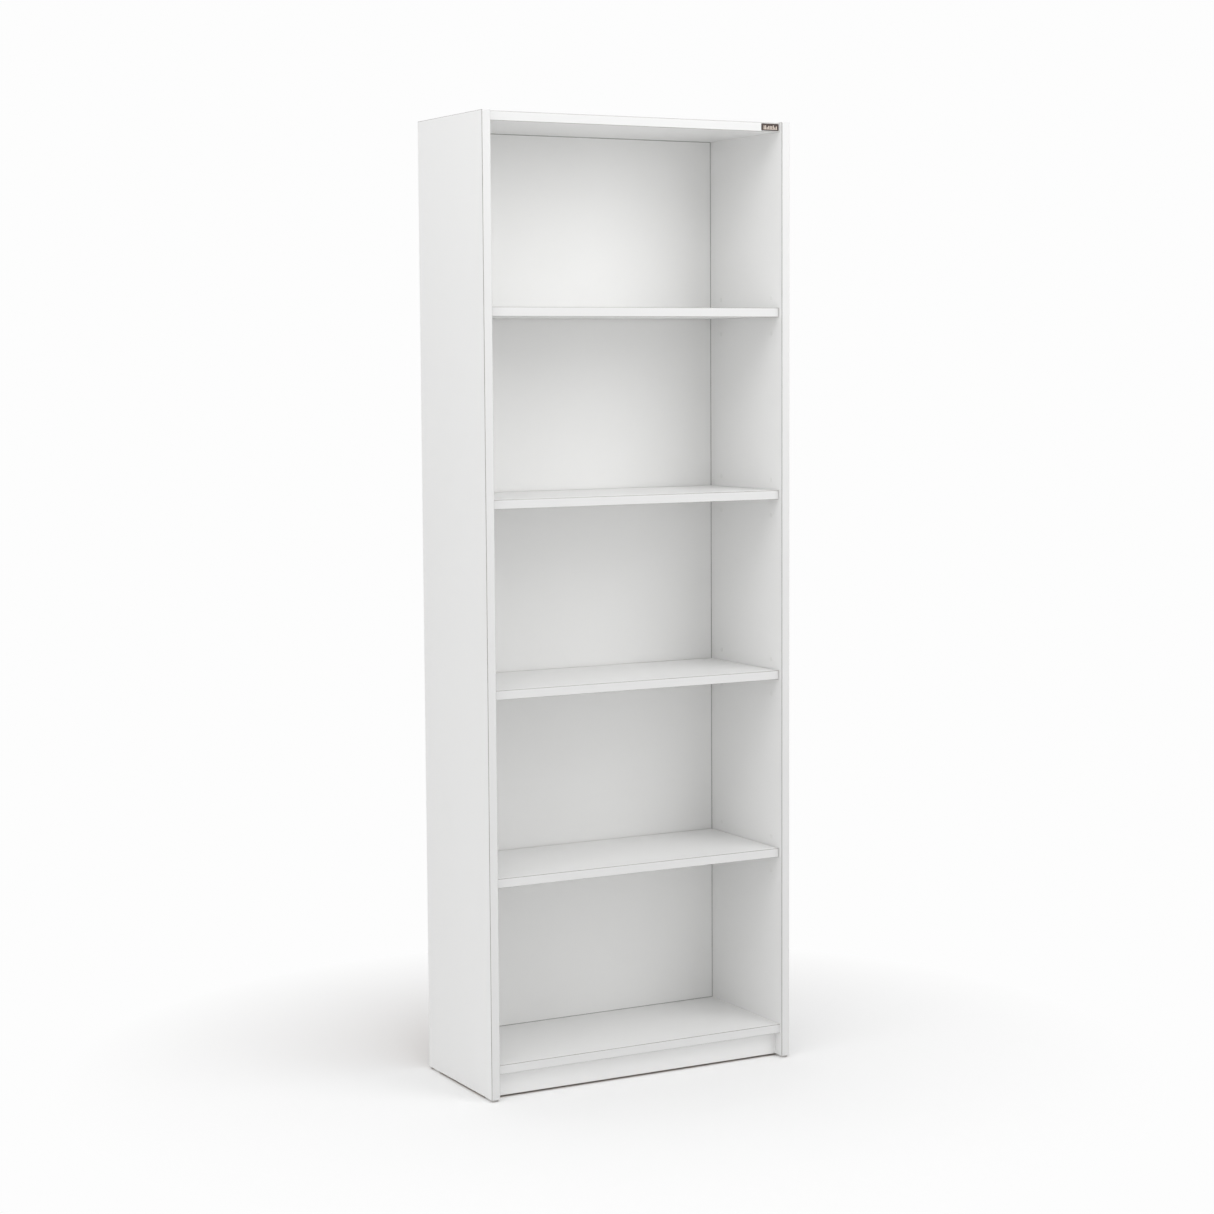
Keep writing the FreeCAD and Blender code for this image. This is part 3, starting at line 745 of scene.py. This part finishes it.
class BOOKCASE_OT_back_board(BookcaseOperator, bpy.types.Operator):
    """Finish the back board: white lacquer towards the shelves, bare brown fibre behind"""

    bl_idname = "bookcase.back_board"
    bl_label = "Back board"

    def execute(self, context):
        back = chosen_look(context.scene, "back")
        grooves = [
            (ACROSS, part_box("left_side_panel")[1].x),
            (ACROSS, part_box("right_side_panel")[0].x),
            (UP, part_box("bottom_panel")[1].z),
            (UP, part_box("top_panel")[0].z),
        ]
        dress(back_finish("Lacquered hardboard", back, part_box("back_board")[0].y, grooves), "back_board")
        return {"FINISHED"}


class BOOKCASE_OT_small_plastics(BookcaseOperator, bpy.types.Operator):
    """Finish the caps in the spare holes and the glides under the sides"""

    bl_idname = "bookcase.small_plastics"
    bl_label = "Caps and glides"

    def execute(self, context):
        fitting = chosen_look(context.scene, "fitting")
        caps = plastic_finish("Cap plastic", fitting.cap, roughness=0.38, size=0.0004, depth=0.000006)
        dress(caps, "left_hole_caps", "right_hole_caps")
        glides = [f"glide_{corner}" for corner in CORNERS]
        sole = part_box(glides[0])[0].z
        worn = plastic_finish(
            "Glide plastic", fitting.glide, roughness=0.5, size=0.0005, depth=0.00002, scuffed_at=sole
        )
        dress(worn, *glides)
        return {"FINISHED"}


class BOOKCASE_OT_metal_fittings(BookcaseOperator, bpy.types.Operator):
    """Finish the nickel shelf supports, the cast cams, and the plated bolts and nails"""

    bl_idname = "bookcase.metal_fittings"
    bl_label = "Metal fittings"

    def execute(self, context):
        fitting = chosen_look(context.scene, "fitting")
        supports = [f"{shelf}_support_{corner}" for shelf in SHELVES for corner in CORNERS]
        nickel = metal_finish(
            "Nickel plating", fitting.nickel, roughness=0.24, mottle=0.08, mottle_size=0.0012, scratches=0.5
        )
        dress(nickel, *supports)
        cams = [f"cam_{end}_{corner}" for end in ("top", "bottom") for corner in CORNERS]
        zinc = metal_finish("Cast zinc", fitting.zinc, roughness=0.42, mottle=0.22, mottle_size=0.0006, scratches=0.3)
        dress(zinc, *cams)
        steel = metal_finish(
            "Zinc-plated steel", fitting.steel, roughness=0.3, mottle=0.1, mottle_size=0.002, scratches=0.4
        )
        dress(steel, "cam_bolts", "glide_nails")
        return {"FINISHED"}


class BOOKCASE_OT_dowels(BookcaseOperator, bpy.types.Operator):
    """Finish the beech dowels that line up the fixed boards"""

    bl_idname = "bookcase.dowels"
    bl_label = "Dowels"

    def execute(self, context):
        dress(beech_finish("Bare beech", chosen_look(context.scene, "fitting").beech), "dowels")
        return {"FINISHED"}


class BOOKCASE_OT_badge(BookcaseOperator, bpy.types.Operator):
    """Finish the badge's plate, and add a row of plain upright bars on a line"""

    bl_idname = "bookcase.badge"
    bl_label = "Badge"

    def execute(self, context):
        badge = chosen_look(context.scene, "badge")
        low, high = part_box("badge")
        middle = (low + high) / 2
        front = np.array([middle.x, low.y, middle.z])
        half_long, half_high = (high.x - low.x) / 2, (high.z - low.z) / 2
        dress(self.plate_finish(badge), "badge")
        trim = plastic_finish("Badge trim", badge.trim, roughness=0.4, size=0.0003, depth=0.000006)
        points, faces = self.bars(badge, half_long, half_high)
        piece_from("badge_bars", points + front, faces, trim, CARCASS)
        return {"FINISHED"}

    def plate_finish(self, badge):
        """Dark lacquer over finely brushed metal."""
        brush_scale, brush_shade, brush_depth = 5200.0, 0.6, 0.000004
        scratch_share, roughness_dark, roughness_pale = 0.12, 0.38, 0.28
        made = Finish("Badge lacquer", Specular_IOR_Level=0.3, Coat_Weight=0.15, Coat_Roughness=0.2)
        tree = made.tree
        long_lines = stretched(tree, made.place, (0.03, 1.0, 1.0))
        brushed = noise(tree, long_lines, brush_scale, detail=3.0, roughness=0.6)
        lines = made.effect(fine_scratches(), Length=0.008, Amount=0.35)
        darker = opaque([part * brush_shade for part in badge.plate])
        shown = blended(tree, brushed, darker, opaque(badge.plate))
        shown = blended(tree, maths(tree, "MULTIPLY", lines["Mask"], scratch_share), shown, opaque(badge.trim))
        height = maths(tree, "ADD", maths(tree, "MULTIPLY", brushed, brush_depth), lines["Height"])
        return made.done(shown, between(tree, brushed, roughness_dark, roughness_pale), height, badge.plate)

    def bars(self, badge, half_long, half_high):
        """Upright bars of uneven heights on one flat line.

        Bar i's height is half the plate's height times a sum of three shares: a mean one, a wave's times the sine of
        i times its turn, and a ripple's times the cosine of i times its turn.
        """
        line_long, line_high, foot_down = 0.82, 0.06, 0.6
        row_long, bar_wide, bar_tall = 0.8, 0.25, 0.82
        wave, wave_turn, ripple, ripple_turn = 0.2, 2.4, 0.14, 5.0
        line_half = (half_long * line_long, badge.stand, half_high * line_high)
        foot = -half_high * foot_down
        points, faces = soft_bar(line_half)
        shapes = [(points + [0.0, 0.0, foot], faces)]
        count = badge.bars
        step = 2 * half_long * row_long / count
        for i in range(count):
            tall = half_high * (bar_tall + wave * sin(wave_turn * i) + ripple * cos(ripple_turn * i))
            half = (step * bar_wide, badge.stand, tall / 2)
            points, faces = soft_bar(half)
            centre = [(i - (count - 1) / 2) * step, 0.0, foot + line_half[2] + half[2]]
            shapes.append((points + centre, faces))
        joined, start = [], 0
        for points, faces in shapes:
            joined += [[start + corner for corner in face] for face in faces]
            start += len(points)
        return np.vstack([points for points, _ in shapes]), joined


class BOOKCASE_OT_stage(BookcaseOperator, bpy.types.Operator):
    """Lay the pale floor, hang the soft lights and place the camera"""

    bl_idname = "bookcase.stage"
    bl_label = "Studio"

    def execute(self, context):
        studio = chosen_look(context.scene, "studio")
        self.floor(context, studio)
        self.sky(context, studio)
        self.lights(context, studio)
        self.camera(context, studio)
        context.scene.view_settings.view_transform = "Standard"
        context.scene.view_settings.look = "None"
        return {"FINISHED"}

    def floor(self, context, studio):
        """A flat pale floor that fades into the white of the paper with distance."""
        drift_shade, squares = 0.99, 8
        made = Finish("Pale floor", Roughness=0.9, Specular_IOR_Level=0.1)
        tree = made.tree
        grain = made.effect(pressed_texture(), Size=0.002, Depth=0.00002, Drift_Size=0.8)
        duller = opaque([part * drift_shade for part in studio.floor])
        made.done(blended(tree, grain["Drift"], duller, opaque(studio.floor)), None, grain["Height"], studio.floor)
        away = vector_maths(tree, "LENGTH", made.place, (0.0, 0.0, 0.0), "Value")
        past = maths(tree, "SUBTRACT", away, studio.fade_from)
        share = maths(tree, "DIVIDE", past, studio.fade_to - studio.fade_from, clamp=True)
        seen = node(tree, "ShaderNodeLightPath").outputs["Is Camera Ray"]
        paper = node(tree, "ShaderNodeEmission", {"Color": opaque(studio.paper), "Strength": 1.0}).outputs[0]
        share = maths(tree, "MULTIPLY", share, seen)
        mixed = node(tree, "ShaderNodeMixShader", {0: share, 1: made.shader.outputs[0], 2: paper}).outputs[0]
        tree.links.new(mixed, next(n for n in tree.nodes if n.type == "OUTPUT_MATERIAL").inputs[0])
        lines = np.linspace(-studio.floor_half, studio.floor_half, squares + 1)
        x, y = np.meshgrid(lines, lines)
        points = np.stack([x.ravel(), y.ravel(), np.full(x.size, cad_box[0].z)], axis=1)
        i, j = np.meshgrid(np.arange(squares), np.arange(squares), indexing="ij")
        corner = (i * lines.size + j).ravel()
        behind = corner + lines.size
        faces = np.stack([corner, corner + 1, behind + 1, behind], axis=1)
        mesh = bpy.data.meshes.new("floor")
        mesh.from_pydata(points.tolist(), [], faces.tolist())
        mesh.materials.append(made.material)
        floor = bpy.data.objects.new("floor", mesh)
        context.scene.collection.objects.link(floor)

    def sky(self, context, studio):
        """Soft light from all round, a little stronger from above; the camera itself sees the white of the paper."""
        world = bpy.data.worlds.new("Studio")
        world.use_nodes = True
        context.scene.world = world
        tree = world.node_tree
        tree.nodes.clear()
        towards = node(tree, "ShaderNodeTexCoord").outputs["Object"]
        climb = vector_maths(tree, "DOT_PRODUCT", towards, UP, "Value")
        above = maths(tree, "MULTIPLY", maths(tree, "MAXIMUM", climb, 0.0), studio.overhead)
        strength = maths(tree, "ADD", above, studio.sky)
        light = node(tree, "ShaderNodeBackground", {"Color": (1.0, 1.0, 1.0, 1.0), "Strength": strength}).outputs[0]
        paper = node(tree, "ShaderNodeBackground", {"Color": opaque(studio.paper), "Strength": 1.0}).outputs[0]
        seen = node(tree, "ShaderNodeLightPath").outputs["Is Camera Ray"]
        mixed = node(tree, "ShaderNodeMixShader", {0: seen, 1: light, 2: paper}).outputs[0]
        node(tree, "ShaderNodeOutputWorld", {"Surface": mixed})

    def lights(self, context, studio):
        """Softboxes that fall off towards the floor, and a low one that opens up the left side's shadow."""
        # name, degrees right of straight in front, metres away, height, height of its aim, side, watts
        boxes = (
            ("key", 30, 1.8, 2.3, 1.2, 1.2, studio.key),
            ("front fill", 30, 3.2, 1.8, 0.85, 2.0, studio.front_fill),
            ("left key", -30, 1.9, 3.0, 1.2, 1.4, studio.left_key),
            ("left side", -75, 1.9, 2.6, 1.2, 1.4, studio.left_side),
            ("left low", -60, 3.2, 1.0, 0.85, 2.0, studio.left_low),
        )
        for name, turn, away, height, aim, side, power in boxes:
            self.softbox(context, name, radians(turn), away, height, aim, side, power)

    def softbox(self, context, name, turn, away, height, aim, side, power):
        """A square soft light, `turn` to the right of straight in front and `away` from the middle, facing `aim`."""
        light = bpy.data.lights.new(name, "AREA")
        light.shape, light.size, light.energy = "SQUARE", side, power
        lamp = bpy.data.objects.new(name, light)
        lamp.location = away * sin(turn), -away * cos(turn), height
        towards = Vector((0.0, 0.0, aim)) - lamp.location
        lamp.rotation_euler = towards.to_track_quat("-Z", "Y").to_euler()
        lamp.visible_camera = False
        context.scene.collection.objects.link(lamp)

    def camera(self, context, studio):
        """The camera looks along its yaw and pitch, then rolls about that line."""
        sensor, nearest, farthest = 36.0, 0.05, 100.0
        yaw, pitch, roll = studio.yaw, studio.pitch, studio.roll
        ahead = Vector((sin(yaw) * cos(pitch), cos(yaw) * cos(pitch), sin(pitch)))
        right = Vector((cos(yaw), -sin(yaw), 0.0))
        up = right.cross(ahead)
        across = cos(roll) * right + sin(roll) * up
        upward = cos(roll) * up - sin(roll) * right
        data = bpy.data.cameras.new("camera")
        data.sensor_width, data.lens = sensor, studio.lens
        data.clip_start, data.clip_end = nearest, farthest
        camera = bpy.data.objects.new("camera", data)
        turn = Matrix((across, upward, -ahead)).transposed()
        camera.matrix_world = Matrix.Translation((studio.camera_x, studio.camera_y, studio.camera_z)) @ turn.to_4x4()
        context.scene.collection.objects.link(camera)
        context.scene.camera = camera


OPERATORS = (
    BOOKCASE_OT_side_panels,
    BOOKCASE_OT_fixed_boards,
    BOOKCASE_OT_shelves,
    BOOKCASE_OT_edge_bands,
    BOOKCASE_OT_back_board,
    BOOKCASE_OT_small_plastics,
    BOOKCASE_OT_metal_fittings,
    BOOKCASE_OT_dowels,
    BOOKCASE_OT_badge,
    BOOKCASE_OT_stage,
)


class BOOKCASE_PT_panel(bpy.types.Panel):
    """The bookcase's sizes, colours and operators"""

    bl_idname = "BOOKCASE_PT_panel"
    bl_label = "Bookcase"
    bl_space_type = "VIEW_3D"
    bl_region_type = "UI"
    bl_category = "Bookcase"

    def draw(self, context):
        for operator in OPERATORS:
            self.layout.operator(operator.bl_idname)
        for key, group in LOOKS.items():
            box = self.layout.box()
            box.label(text=key.capitalize())
            for name in group.__annotations__:
                box.prop(chosen_look(context.scene, key), name)


CLASSES = (*LOOKS.values(), *OPERATORS, BOOKCASE_PT_panel)


def register():
    """Registers the classes and gives the scene its groups of sizes and colours."""
    for cls in CLASSES:
        bpy.utils.register_class(cls)
    for key, group in LOOKS.items():
        setattr(bpy.types.Scene, f"bookcase_{key}", PointerProperty(type=group))


def unregister():
    """Takes away what register() added."""
    for key in LOOKS:
        delattr(bpy.types.Scene, f"bookcase_{key}")
    for cls in reversed(CLASSES):
        bpy.utils.unregister_class(cls)


def main():
    """Runs every operator in order."""
    register()
    for operator in OPERATORS:
        group, name = operator.bl_idname.split(".")
        getattr(getattr(bpy.ops, group), name)()


if __name__ == "__main__":
    main()
